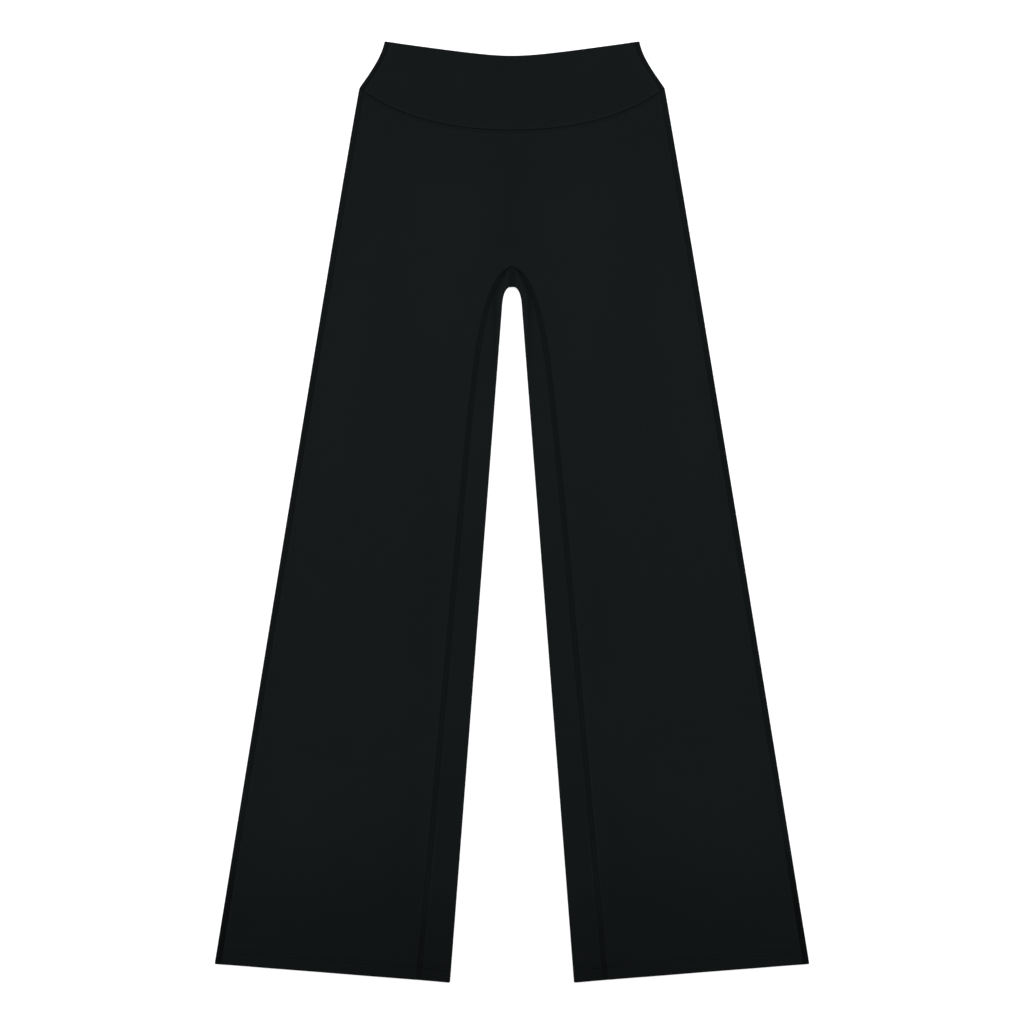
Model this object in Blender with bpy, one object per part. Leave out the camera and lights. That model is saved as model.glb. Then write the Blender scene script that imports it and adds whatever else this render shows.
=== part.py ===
"""Wide-leg yoga pants laid flat, front side up, as seven sewn pieces of black jersey.

Metres, +Z up. The pants lie on the plane z = 0 with the waist towards +Y, and the origin is at
the middle of their underside. Left and right are those of someone who looks down at the front
with the waist away from them. "Down" is the distance from the waist's top corners towards the
hems, and "half" is a distance from the middle line, so most sizes hold for both legs.

The back layer lies flat on the ground, rolls up round the outer edges and ends at the side
seams, just inside the edges of the front layer. An inner-leg panel is folded round the inner
edge of each leg. The hems are turned up, so the cloth is thicker there.
"""

import math
from collections import namedtuple

import bpy
import numpy as np

# Outline
LENGTH = 1.0530             # waist corner to the inner corner of a hem
WAIST_HALF = 0.1427         # at the waist's top corners
HIP_HALF = 0.1709           # where the waistband's sides meet the legs
HEM_OUTER_HALF = 0.3328
HEM_INNER_HALF = 0.0693
HEM_OUTER_DOWN = 1.0321
LEG_BOW = 0.0013            # how far the outer edge of a leg bows out of a straight line
LEG_BOW_SKEW = 0.65         # under 1 moves that bow up, towards the hip

# Waistband
TOP_DIP_FRONT = 0.0160      # the top edge's middle lies this much below its corners
TOP_DIP_BACK = 0.0175
TOP_DIP_ROUNDING = 0.035
BAND_SIDE_HEIGHT = 0.0519
BAND_FRONT_DOWN = 0.0987    # the front waist seam at the middle
BAND_BACK_DOWN = 0.0815
BAND_SEAM_ROUNDNESS = 0.672  # share of a parabola in the waist seam, the rest is a fourth power
BAND_SIDE_LINEAR = 0.315    # shares of the concave side's cubic, by power
BAND_SIDE_SQUARE = 1.101

# Crotch and inner-leg panels
APEX_DOWN = 0.2513          # where the inner-leg panels' front seams meet
ARCH_DOWN = 0.2743          # top of the gap between the legs
ARCH_HALF = 0.0093
ARCH_HEIGHT = 0.0200
ARCH_POWER = 2.4            # 2 is an ellipse, more is squarer
ARCH_CATCH_UP = 0.0600      # rows across the legs run level from this far below the apex
INSEAM_HEM_DOWN = 1.0502
INSEAM_SPREAD = 0.0327      # width that the inner-leg panel gains in its round top
INSEAM_REACH = 0.0520       # length over which it gains it
INSEAM_POWER = 0.664
INSEAM_SLOPE = 0.0900

# Cloth
PANEL_WALL = 0.0012
BAND_WALL = 0.0020          # the waistband is doubled
HEM_WALL = 0.0018
HEM_DEPTH = 0.0205
HEM_STEP = 0.0030           # the hem thins to a single layer over this length
SEAM_GAP = 0.0003
SIDE_SEAM_INSET = 0.0038    # side seams lie this far inside the outline, on the front

# How the front layer lies on the back layer
LAYER_GAP = 0.0004
EDGE_PUFF = 0.0014          # extra air beside a rolled edge
EDGE_REACH = 0.0140
BAND_LIFT = 0.0008          # the panels rise to the thicker waistband
BAND_LIFT_REACH = 0.0400
FOLD_CORE = 0.0009          # inner radius of a rolled edge, seen from above

# Mesh
HIP_ROWS = 10
LEG_ROWS = 32
BAND_ROWS = 6
FRONT_COLUMNS = 12          # in each half of the front
FLOOR_COLUMNS = 5           # in each half of the back, where it lies on the ground
INSEAM_COLUMNS = 2          # on each face of an inner-leg panel
FOLD_STEPS = 6

# Broad soft swells of the front layer, the same on both legs
Swell = namedtuple("Swell", "half down half_width half_length lean height")
SWELLS = (
    Swell(half=0.075, down=0.300, half_width=0.038, half_length=0.175, lean=0.04, height=0.0014),
    Swell(half=0.182, down=0.370, half_width=0.022, half_length=0.140, lean=0.15, height=0.0010),
    Swell(half=0.122, down=0.640, half_width=0.030, half_length=0.190, lean=0.10, height=0.0010),
    Swell(half=0.218, down=0.720, half_width=0.028, half_length=0.170, lean=0.14, height=0.0009),
    Swell(half=0.150, down=0.930, half_width=0.026, half_length=0.120, lean=0.10, height=0.0009),
    Swell(half=0.262, down=0.960, half_width=0.022, half_length=0.110, lean=0.15, height=0.0008),
)

JERSEY_COLOUR = (0.0090, 0.0106, 0.0112, 1.0)
BAND_COLOUR = (0.0086, 0.0101, 0.0107, 1.0)
JERSEY_ROUGHNESS = 0.78

# One line across a half of a panel: its ends' halves, and y as a function of the half
Row = namedtuple("Row", "inner outer y_at")

# Cloth as two matching sheets of points, its outside and its inside, and the faces they share
Sheet = namedtuple("Sheet", "outside inside faces")


def y_of(down):
    """World y of a distance below the waist's top corners."""
    return LENGTH / 2 - down


def down_of(y):
    """Distance below the waist's top corners of a world y."""
    return LENGTH / 2 - y


def smooth_step(low, high, value):
    """0 below low and 1 above high, with a smooth rise between them."""
    share = min(max((value - low) / (high - low), 0.0), 1.0)
    return share * share * (3 - 2 * share)


# Outline and seams, as halves and downs


def side_half(down):
    """Outer edge: a concave cubic beside the waistband, then a leg that bows out slightly."""
    if down < BAND_SIDE_HEIGHT:
        share = max(down, 0.0) / BAND_SIDE_HEIGHT
        cube = 1 - BAND_SIDE_LINEAR - BAND_SIDE_SQUARE
        rise = BAND_SIDE_LINEAR * share + BAND_SIDE_SQUARE * share ** 2 + cube * share ** 3
        return WAIST_HALF + (HIP_HALF - WAIST_HALF) * rise
    share = min((down - BAND_SIDE_HEIGHT) / (HEM_OUTER_DOWN - BAND_SIDE_HEIGHT), 1.0)
    skewed = share ** LEG_BOW_SKEW
    bow = LEG_BOW * 4 * skewed * (1 - skewed)
    return HIP_HALF + (HEM_OUTER_HALF - HIP_HALF) * share + bow


def inner_edge_half(down):
    """Inner edge of a leg: a straight line that starts in a squarish quarter ellipse."""
    below = max(down - ARCH_DOWN, 0.0)
    slope = (HEM_INNER_HALF - ARCH_HALF) / (LENGTH - ARCH_DOWN)
    left = 1 - min(below / ARCH_HEIGHT, 1.0)
    arch = (1 - left ** ARCH_POWER) ** (1 / ARCH_POWER)
    return slope * below + ARCH_HALF * arch


def inseam_half(down):
    """Seam between an inner-leg panel and the front or the back."""
    below = max(down - APEX_DOWN, 0.0)
    spread = math.tanh((below / INSEAM_REACH) ** INSEAM_POWER)
    return INSEAM_SLOPE * below + INSEAM_SPREAD * spread


def top_edge_down(half, dip):
    """Top edge of the waistband: two nearly straight lines with a round corner in the middle."""
    full = math.hypot(WAIST_HALF, TOP_DIP_ROUNDING) - TOP_DIP_ROUNDING
    here = math.hypot(half, TOP_DIP_ROUNDING) - TOP_DIP_ROUNDING
    return dip * (1 - here / full)


def waist_seam_down(share, middle_down):
    """Waist seam at a share of the way from the middle to the side."""
    curve = BAND_SEAM_ROUNDNESS * share ** 2 + (1 - BAND_SEAM_ROUNDNESS) * share ** 4
    return middle_down - (middle_down - BAND_SIDE_HEIGHT) * curve


def beside_waist_seam(share, middle_down, offset):
    """Waist seam moved towards the hems by an offset square to it."""
    step = 0.001
    rise = waist_seam_down(share + step, middle_down) - waist_seam_down(share - step, middle_down)
    slope = rise / (2 * step * HIP_HALF)
    return waist_seam_down(share, middle_down) + offset * math.hypot(1, slope)


# Rows down the legs, numbered from the crotch to the hem


def leg_shares():
    """How far each leg row is from the crotch to the hem: close at the crotch and at the hem."""
    leg = HEM_OUTER_DOWN - APEX_DOWN
    hem_top = 1 - HEM_DEPTH / leg
    shares = [hem_top * (number / LEG_ROWS) ** 2 for number in range(LEG_ROWS + 1)]
    return shares + [hem_top + HEM_STEP / leg, 1.0]


def side_point(share):
    """Point of the outer edge on the leg row at a share of the leg."""
    down = APEX_DOWN + share * (HEM_OUTER_DOWN - APEX_DOWN)
    return np.array((side_half(down), y_of(down)))


def inseam_point(share):
    """Point of the inseam on the leg row at a share of the leg."""
    down = APEX_DOWN + share * (INSEAM_HEM_DOWN - APEX_DOWN)
    return np.array((inseam_half(down), y_of(down)))


def inner_edge_point(share):
    """Point of the inner edge on that row: lower near the crotch, then level with the inseam."""
    below = share * (INSEAM_HEM_DOWN - APEX_DOWN)
    behind = (ARCH_DOWN - APEX_DOWN) * (1 - smooth_step(0, ARCH_CATCH_UP, below))
    down = APEX_DOWN + below + behind + share * (LENGTH - INSEAM_HEM_DOWN)
    return np.array((inner_edge_half(down), y_of(down)))


def square_to(points):
    """Unit vectors square to a curve that starts on the middle line, towards the other leg."""
    mirrored_start = points[1] * (-1, 1)
    before = np.vstack((mirrored_start, points[:-1]))
    after = np.vstack((points[1:], 2 * points[-1] - points[-2]))
    along = after - before
    along /= np.linalg.norm(along, axis=1)[:, None]
    return np.column_stack((along[:, 1], -along[:, 0]))


def beside_inseam(offset):
    """The inseam's points, moved by an offset towards the inner edge of the leg."""
    points = np.array([inseam_point(share) for share in leg_shares()])
    return points + offset * square_to(points)


# Heights


def leg_wall(share):
    """Thickness of a leg panel on the leg row at a share of the leg: doubled in the hem."""
    to_hem = (1 - share) * (HEM_OUTER_DOWN - APEX_DOWN)
    return HEM_WALL + (PANEL_WALL - HEM_WALL) * smooth_step(
        HEM_DEPTH - HEM_STEP, HEM_DEPTH, to_hem)


def side_distance(half, down):
    """Distance inside the outer edge."""
    return side_half(down) - half


def inner_distance(half, down):
    """Distance outside the gap between the legs, whose top is taken as a circle."""
    centre_down = ARCH_DOWN + ARCH_HALF
    if down < centre_down:
        return math.hypot(half, centre_down - down) - ARCH_HALF
    return half - inner_edge_half(down)


def puff(distance):
    """Extra air between the layers beside a rolled edge."""
    inside = max(distance - PANEL_WALL - FOLD_CORE, 0.0)
    return EDGE_PUFF * math.exp(-(inside / EDGE_REACH) ** 2)


def swell_height(half, down):
    """Height of the broad swells of the front layer."""
    total = 0.0
    for swell in SWELLS:
        axis = swell.half + swell.lean * (down - swell.down)
        across = (half - axis) / swell.half_width
        along = (down - swell.down) / swell.half_length
        total += swell.height * math.exp(-across ** 2 - along ** 2)
    return total


def air(x, y):
    """Height of the air between the back layer and the front layer of the legs and hips."""
    half = abs(x)
    down = down_of(y)
    share = min(half / HIP_HALF, 1.0)
    below_band = down - waist_seam_down(share, BAND_FRONT_DOWN)
    lift = BAND_LIFT * (1 - smooth_step(0, BAND_LIFT_REACH, below_band))
    edges = puff(side_distance(half, down)) + puff(inner_distance(half, down))
    return LAYER_GAP + lift + edges + swell_height(half, down)


def band_air(x, y):
    """Height of the air between the two waistbands."""
    return LAYER_GAP + puff(side_distance(abs(x), down_of(y)))


# Rows of the hips, the legs and the waistband


def hip_rows(band_middle_down, inner):
    """Rows from the waist seam to just above the crotch's level."""
    rows = []
    for number in range(HIP_ROWS):
        share = number / HIP_ROWS
        side_down = BAND_SIDE_HEIGHT + share * (APEX_DOWN - BAND_SIDE_HEIGHT)
        outer = side_half(side_down)

        def y_at(half, share=share, outer=outer):
            seam = beside_waist_seam(half / outer, band_middle_down, SEAM_GAP / 2)
            return y_of((1 - share) * seam + share * APEX_DOWN)

        rows.append(Row(inner, outer, y_at))
    return rows


def leg_rows(apex_half):
    """Rows from the crotch to the hem, each straight from the inseam to the outer edge."""
    rows = []
    for share, start in zip(leg_shares(), beside_inseam(-SEAM_GAP / 2)):
        end = side_point(share)
        if share == 0:
            start = np.array((apex_half, start[1]))

        def y_at(half, start=start, end=end):
            return start[1] + (end[1] - start[1]) * (half - start[0]) / (end[0] - start[0])

        rows.append(Row(start[0], end[0], y_at))
    return rows


def band_rows(top_dip, band_middle_down):
    """Rows of a waistband from its top edge to the waist seam."""
    rows = []
    for number in range(BAND_ROWS + 1):
        share = number / BAND_ROWS
        outer = side_half(share * BAND_SIDE_HEIGHT)

        def y_at(half, share=share, outer=outer):
            top = top_edge_down(WAIST_HALF * half / outer, top_dip)
            seam = beside_waist_seam(half / outer, band_middle_down, -SEAM_GAP / 2)
            return y_of((1 - share) * top + share * seam)

        rows.append(Row(0.0, outer, y_at))
    return rows


# Sections of one row: lists of (outside point, inside point)


def upper_section(row, wall, air_at, columns):
    """A front piece's row, from its inner end to the side seam."""
    section = []
    outer = row.outer - SIDE_SEAM_INSET - SEAM_GAP / 2
    for half in np.linspace(row.inner, outer, columns + 1):
        y = row.y_at(half)
        low = wall + air_at(half, y)
        section.append(((half, y, low + wall), (half, y, low)))
    return section


def fold_section(turn_from, turn_to, height, wall):
    """Points round a rolled edge: (inset, z) of the outside and the inside, by turn in degrees."""
    radius = wall + FOLD_CORE
    middle = height / 2
    points = []
    for number in range(1, FOLD_STEPS):
        turn = math.radians(turn_from + (turn_to - turn_from) * number / FOLD_STEPS)
        across = math.cos(turn)
        up = math.sin(turn)
        outside = (radius - radius * across, middle + middle * up)
        inside = (radius - FOLD_CORE * across, middle + (middle - wall) * up)
        points.append((outside, inside))
    return points


def rolled_section(row, wall, air_at):
    """A back piece's row: along the ground, round the outer edge and up to the side seam."""
    section = []
    fold_start = row.outer - wall - FOLD_CORE
    for half in np.linspace(row.inner, fold_start, FLOOR_COLUMNS + 1):
        y = row.y_at(half)
        section.append(((half, y, 0.0), (half, y, wall)))
    height = 2 * wall + air_at(fold_start, row.y_at(fold_start))
    for outside, inside in fold_section(-90, 90, height, wall):
        pair = [(row.outer - inset, row.y_at(row.outer - inset), z) for inset, z in (outside, inside)]
        section.append(tuple(pair))
    for half in (fold_start, row.outer - SIDE_SEAM_INSET + SEAM_GAP / 2):
        y = row.y_at(half)
        low = wall + air_at(half, y)
        section.append(((half, y, low + wall), (half, y, low)))
    return section


def inner_leg_section(seam, edge, outward, wall):
    """An inner-leg panel's row: front inseam, rolled inner edge of the leg, back inseam."""
    fold_start = edge - (wall + FOLD_CORE) * outward
    upper = []
    lower = []
    for share in np.linspace(0, 1, INSEAM_COLUMNS + 1):
        x, y = seam + (fold_start - seam) * share
        low = wall + air(x, y)
        upper.append(((x, y, low + wall), (x, y, low)))
        lower.append(((x, y, 0.0), (x, y, wall)))
    height = 2 * wall + air(*fold_start)
    fold = []
    for outside, inside in fold_section(90, -90, height, wall):
        pair = [tuple(edge - inset * outward) + (z,) for inset, z in (outside, inside)]
        fold.append(tuple(pair))
    return upper + fold + lower[::-1]


# Sheets and closed walls


def sheet_of(sections):
    """A sheet whose rows are the given sections."""
    columns = len(sections[0])
    pairs = [pair for section in sections for pair in section]
    outside = np.array([pair[0] for pair in pairs])
    inside = np.array([pair[1] for pair in pairs])
    faces = []
    for row in range(len(sections) - 1):
        for column in range(columns - 1):
            corner = row * columns + column
            faces.append((corner, corner + columns, corner + columns + 1, corner + 1))
    return Sheet(outside, inside, faces)


def mirrored(sheet):
    """The same sheet on the other side of the middle line."""
    flip = np.array((-1.0, 1.0, 1.0))
    faces = [face[::-1] for face in sheet.faces]
    return Sheet(sheet.outside * flip, sheet.inside * flip, faces)


def with_mirror_image(sheet):
    """A sheet joined to its mirror image along the points on the middle line."""
    other = mirrored(sheet)
    count = len(sheet.outside)
    shared = np.abs(sheet.outside[:, 0]) < 1e-9
    new_index = np.where(shared, np.arange(count), count + np.cumsum(~shared) - 1)
    outside = np.vstack((sheet.outside, other.outside[~shared]))
    inside = np.vstack((sheet.inside, other.inside[~shared]))
    faces = sheet.faces + [tuple(int(new_index[corner]) for corner in face) for face in other.faces]
    return Sheet(outside, inside, faces)


def closed_wall(sheet):
    """Points and faces of the closed wall between a sheet's outside and its inside."""
    count = len(sheet.outside)
    points = np.vstack((sheet.outside, sheet.inside))
    faces = list(sheet.faces)
    faces += [tuple(corner + count for corner in face[::-1]) for face in sheet.faces]
    edges = {edge for face in sheet.faces for edge in zip(face, face[1:] + face[:1])}
    for start, end in sorted(edges):
        if (end, start) not in edges:
            faces.append((end, start, start + count, end + count))
    return points, faces


def cloth_material(name, colour):
    """Matt black jersey."""
    material = bpy.data.materials.new(name)
    material.use_nodes = True
    shader = material.node_tree.nodes["Principled BSDF"]
    shader.inputs["Base Color"].default_value = colour
    shader.inputs["Roughness"].default_value = JERSEY_ROUGHNESS
    shader.inputs["Metallic"].default_value = 0.0
    return material


def add_cloth(name, sheet, colour):
    """A named object with the closed wall of a sheet, and its own material."""
    points, faces = closed_wall(sheet)
    mesh = bpy.data.meshes.new(name)
    mesh.from_pydata(points.tolist(), [], faces)
    mesh.validate()
    mesh.materials.append(cloth_material(name, colour))
    mesh.shade_smooth()
    mesh.set_sharp_from_angle(angle=math.radians(50))
    piece = bpy.data.objects.new(name, mesh)
    bpy.context.scene.collection.objects.link(piece)
    return piece


# The seven pieces


def waistband_front():
    """Front of the waistband, between the side seams."""
    rows = band_rows(TOP_DIP_FRONT, BAND_FRONT_DOWN)
    sections = [upper_section(row, BAND_WALL, band_air, FRONT_COLUMNS) for row in rows]
    return with_mirror_image(sheet_of(sections))


def waistband_back():
    """Back of the waistband, which rolls round both sides to the side seams."""
    rows = band_rows(TOP_DIP_BACK, BAND_BACK_DOWN)
    sections = [rolled_section(row, BAND_WALL, band_air) for row in rows]
    return with_mirror_image(sheet_of([section[::-1] for section in sections]))


def front_panel():
    """The one-piece front: hips and both legs, with the crotch cut out between them."""
    rows = hip_rows(BAND_FRONT_DOWN, 0.0) + leg_rows(0.0)
    walls = [PANEL_WALL] * HIP_ROWS + [leg_wall(share) for share in leg_shares()]
    sections = [upper_section(row, wall, air, FRONT_COLUMNS) for row, wall in zip(rows, walls)]
    return with_mirror_image(sheet_of(sections))


def back_panel():
    """Right half of the back, from the centre-back seam round the outer edge to the side seam."""
    rows = hip_rows(BAND_BACK_DOWN, SEAM_GAP / 2) + leg_rows(SEAM_GAP / 2)
    walls = [PANEL_WALL] * HIP_ROWS + [leg_wall(share) for share in leg_shares()]
    sections = [rolled_section(row, wall, air)[::-1] for row, wall in zip(rows, walls)]
    return sheet_of(sections)


def inner_leg():
    """Right inner-leg panel, folded round the inner edge of the leg from the crotch to the hem."""
    shares = leg_shares()
    seams = beside_inseam(SEAM_GAP / 2)
    edges = np.array([inner_edge_point(share) for share in shares])
    outward = square_to(edges)
    seams[0, 0] = SEAM_GAP / 2
    edges[0, 0] = SEAM_GAP / 2
    sections = []
    for share, seam, edge, normal in zip(shares, seams, edges, outward):
        sections.append(inner_leg_section(seam, edge, normal, leg_wall(share))[::-1])
    return sheet_of(sections)


def build():
    """Clear the file and add the pieces."""
    for old in list(bpy.data.objects):
        bpy.data.objects.remove(old, do_unlink=True)
    add_cloth("waistband_front", waistband_front(), BAND_COLOUR)
    add_cloth("waistband_back", waistband_back(), BAND_COLOUR)
    add_cloth("front_panel", front_panel(), JERSEY_COLOUR)
    add_cloth("back_panel_right", back_panel(), JERSEY_COLOUR)
    add_cloth("back_panel_left", mirrored(back_panel()), JERSEY_COLOUR)
    add_cloth("inner_leg_right", inner_leg(), JERSEY_COLOUR)
    add_cloth("inner_leg_left", mirrored(inner_leg()), JERSEY_COLOUR)


build()
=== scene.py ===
"""Looks of wide-leg yoga pants in black jersey, laid flat with the front up, seen from above.

Metres, in the frame of the solids: the ground is z = 0 and the waist points to +Y. A place on the
pants is written as its half, the distance from the middle line, and its down, the distance below
the waist's top corners, so most functions hold for both legs.

Each solid is replaced by a thin shell of its own form with a finer surface: pressed seams, turned
hems, soft creases and rolled edges. Covering stitches lie over the seams, as in flat activewear.
"""

import math
from collections import namedtuple

import bpy
import numpy as np
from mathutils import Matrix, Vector
from mathutils.kdtree import KDTree


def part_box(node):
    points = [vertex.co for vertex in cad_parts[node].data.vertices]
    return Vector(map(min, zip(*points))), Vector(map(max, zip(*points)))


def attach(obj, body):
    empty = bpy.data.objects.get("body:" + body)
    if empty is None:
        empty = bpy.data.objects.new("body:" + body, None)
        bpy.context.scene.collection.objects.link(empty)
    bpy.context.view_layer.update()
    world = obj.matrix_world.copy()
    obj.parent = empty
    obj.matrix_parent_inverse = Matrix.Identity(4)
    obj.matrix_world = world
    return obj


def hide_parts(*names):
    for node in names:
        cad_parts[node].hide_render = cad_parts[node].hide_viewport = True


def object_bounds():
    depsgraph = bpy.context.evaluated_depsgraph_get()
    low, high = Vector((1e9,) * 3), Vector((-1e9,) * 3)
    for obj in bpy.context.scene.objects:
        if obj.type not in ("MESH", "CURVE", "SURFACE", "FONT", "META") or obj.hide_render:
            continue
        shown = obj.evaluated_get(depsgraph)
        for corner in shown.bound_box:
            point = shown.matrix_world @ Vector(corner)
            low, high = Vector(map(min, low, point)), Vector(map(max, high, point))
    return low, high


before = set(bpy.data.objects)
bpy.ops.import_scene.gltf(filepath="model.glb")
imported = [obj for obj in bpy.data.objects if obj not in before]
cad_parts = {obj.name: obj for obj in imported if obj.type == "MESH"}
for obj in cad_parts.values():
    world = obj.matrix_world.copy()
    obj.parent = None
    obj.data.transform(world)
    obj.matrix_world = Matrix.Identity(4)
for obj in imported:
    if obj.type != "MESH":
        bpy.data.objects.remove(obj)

CAD_LOW, CAD_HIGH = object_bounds()

# A soft ridge along a line; with a negative change it is a groove, or a darker line
Ridge = namedtuple("Ridge", "at width by")

# A change that grows smoothly from nothing at its start to the whole at its end
Step = namedtuple("Step", "start end by")

# A long soft patch: the middle of its axis, its reach, how it leans outwards, and its change
Patch = namedtuple("Patch", "half down half_width half_length lean by")

# A place on the pants: its half and down, and its distances from the seams and edges
Place = namedtuple("Place", "half down side inner inseam waist hem")

# Lines across a panel: their lengths, and a function that gives points at distances on them
Lines = namedtuple("Lines", "length points_at")

# What a panel is like at a place: its wall, its outside when on top or below, its tone and the
# share of the wall that its rims leave; and the radius of its rolled edge, seen from above
Cloth = namedtuple("Cloth", "wall top ground tone left fold")

# A panel on a grid of points: its outside, its inside, and the tone of each point
Grid = namedtuple("Grid", "outside inside tone")

# A mesh: points, faces of four corners, and the tone of each point
Mesh = namedtuple("Mesh", "points faces tone")

# Outline, as in the solids
LENGTH = CAD_HIGH.y - CAD_LOW.y
WAIST_HALF = 0.1427
HIP_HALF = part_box("waistband_back")[1].x
HEM_OUTER_HALF = CAD_HIGH.x
HEM_INNER_HALF = 0.0693
HEM_OUTER_DOWN = 1.0321
BAND_SIDE_HEIGHT = 0.0519
LEG_SIDE_LENGTH = HEM_OUTER_DOWN - BAND_SIDE_HEIGHT
LEG_BOW = 0.0013
LEG_BOW_SKEW = 0.65

# Waistband
TOP_DIP_FRONT = 0.0160
TOP_DIP_BACK = 0.0175
TOP_DIP_ROUNDING = 0.035
BAND_FRONT_DOWN = 0.0987
BAND_BACK_DOWN = 0.0815
BAND_SEAM_ROUNDNESS = 0.672
BAND_SIDE_LINEAR = 0.315
BAND_SIDE_SQUARE = 1.101

# Crotch and inner-leg panels
APEX_DOWN = 0.2513
ARCH_DOWN = 0.2743
ARCH_HALF = 0.0093
ARCH_HEIGHT = 0.0200
ARCH_POWER = 2.4
ARCH_CATCH_UP = 0.0600
INSEAM_HEM_DOWN = 1.0502
INSEAM_SPREAD = 0.0327
INSEAM_REACH = 0.0520
INSEAM_POWER = 0.664
INSEAM_SLOPE = 0.0900
INSEAM_POINTS = 4000
INSEAM_TREE_STEP = 0.0005  # between the points from which distances are measured

# Cloth
PANEL_WALL = 0.0012
BAND_WALL = 0.0020
HEM_WALL = 0.0018
HEM_FLAT = 0.0175  # the turned hem keeps its thickness up to here
HEM_EASE = 0.0450  # and the cloth is as thin as elsewhere from here
SEAM_GAP = 0.0003
SIDE_SEAM_INSET = 0.0038
BAND_END = 0.00040  # below the waist seam's line, where the band ends
LEG_START = 0.00050  # and the leg panels start
LAYER_GAP = 0.0004
EDGE_PUFF = 0.0014
EDGE_REACH = 0.0140
BAND_LIFT = 0.0008
BAND_LIFT_REACH = 0.0400
LEG_FOLD = 0.0021
BAND_FOLD = 0.0029
CROTCH_FOLD_LENGTH = math.pi * 0.00215
CROTCH_FLAT = ARCH_DOWN - LEG_FOLD - APEX_DOWN  # the crotch seam's length on each face
CROTCH_SEAM_LENGTH = 2 * CROTCH_FLAT + CROTCH_FOLD_LENGTH

# Covering stitches: half widths, and their forms in shares of the half width and the height
COVER_HALF = 0.0028
BAND_COVER_HALF = 0.0024
CROTCH_COVER_HALF = 0.0033
SIDE_COVER_HALF = 0.0030
SIDE_COVER_WIDENING = Step(0.7 * LEG_SIDE_LENGTH, LEG_SIDE_LENGTH, 0.0006)  # near the hems
COVER_POINT_HALF = 0.0003  # the inseams' covers start as points, this narrow
COVER_POINT_DROP = 0.0010  # this far below the seam's top
COVER_TAPER = Step(-0.0028, 0.0227, COVER_HALF - COVER_POINT_HALF)
COVER_PROUD = 0.00030
COVER_PITCH = 0.0021
COVER_END = 0.0012  # the strip sinks into the cloth over this length at each end
STRIP_STEP = 0.0010  # length of the strip's faces
STRIP_SECTION = ((-1.0, -0.6), (-0.86, 0.6), (-0.5, 1.0), (0.0, 0.8), (0.5, 1.0), (0.86, 0.6),
                 (1.0, -0.6), (0.0, -1.0))
STRIP_TONE = 0.85
CROSSING_ACROSS = (-0.92, 0.0, 0.92, 0.0)
CROSSING_PROUD = (0.00012, 0.00036, 0.00012, 0.00036)
COVER_ROWS = (-0.80, 0.80)
OVER_COVER_RISE = 0.00042  # how far a stitch row rises over a cover
OVER_COVER_SLOPE = (0.0036, 0.0025)  # between these distances from the seam
UNDER_RECESS = 0.00075  # room below the cloth for the sewing of the underside
UNDER_SLOPE = 0.0030
UNDER_CROTCH_PAST = 0.005  # that room goes on this far past the top of the gap between the legs

# Routes of the sewing: how close their points are, and the room they leave before an edge or
# a seam or how far they go on past one
ROUTE_STEP = 0.0015
ROW_POINTS = 400  # of a route across the pants
SIDE_COVER_TOP = 0.0009
COVER_HEM_ROOM = 0.0002
INSEAM_HEM_ROOM = 0.0003
CENTRE_BACK_TOP = 0.0008
CENTRE_BACK_ROOM = 0.0002
CROTCH_COVER_PAST = 0.0007
WAIST_SINK = 0.0016  # how deep the side seams' sewing sinks at the waist seam
WAIST_OVERLAP = 0.0025  # and how far it goes on past it
WAIST_ROW_ROOM = (0.0075, 0.0035)  # on the front, on the back
HEM_ROW_ROOM = (0.0070, 0.0022)
HEM_ROW_INNER_ROOM = 0.0012

# Stitch rows
THREAD_RADIUS = 0.00017
ROW_PROUD = 0.00003
STITCH_SHARES = (0.06, 0.24, 0.74, 0.92)  # the points of a stitch, along its pitch
STITCH_RISES = (-0.00014, 0.00010, 0.00010, -0.00014)
HEM_ROWS_UP = (0.0135, 0.0170)  # the two stitch rows above the hem's edge
HEM_ROWS_MIDDLE = sum(HEM_ROWS_UP) / 2
HEM_STITCH = 0.0024
WAIST_ROW_DOWN = 0.0041  # the stitch row below the waist seam
WAIST_STITCH = 0.0026
OVERLAP_HALVES = (0.0888, 0.0962)  # where a hem's lower row was sewn over its own start
OVERLAP_STITCH = 0.00245
OVERLAP_PROUD = 0.00012
OVERLAP_RADIUS = 0.00034
OVERLAP_TONE = 0.45

# Pressed relief beside the sewing
BESIDE_COVER = (Ridge(0.0026, 0.0017, 0.00018), Ridge(0.0, 0.0009, -0.00022))
RIPPLE_HEIGHT = 0.00007
RIPPLE_REACH = 0.0070
RIPPLE_WAVES = (0.0113, 0.0171, 0.0297)
HEM_WAVE_HEIGHT = 0.00012
HEM_WAVE_REACH = 0.0300
HEM_WAVES = (0.0370, 0.0610, 0.1010)
WAVE_SHIFT = 1.7  # radians from one wave to the next

# Relief by the distance up from the hem's edge, and by the distance down from the waist seam
HEM_RELIEF = (
    Ridge(HEM_ROWS_UP[0], 0.0007, -0.00014),
    Ridge(HEM_ROWS_UP[1], 0.0007, -0.00011),
    Ridge(HEM_ROWS_MIDDLE, 0.0009, 0.00010),
)
BELOW_WAIST_RELIEF = (
    Ridge(0.0006, 0.0007, -0.00020),
    Ridge(WAIST_ROW_DOWN, 0.0006, -0.00012),
    Ridge(0.0056, 0.0012, 0.00016),
)
BAND_RELIEF = (Ridge(-0.0024, 0.0014, 0.00020),)
UNDER_HEM_RELIEF = tuple(Ridge(up, 0.0010, 0.0004) for up in HEM_ROWS_UP)
UNDER_WAIST_RELIEF = (Ridge(WAIST_ROW_DOWN, 0.0012, 0.0004), Ridge(0.0, 0.0008, 0.0004))
UNDER_BAND_RELIEF = (Ridge(0.0, 0.0008, 0.0003),)

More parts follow.
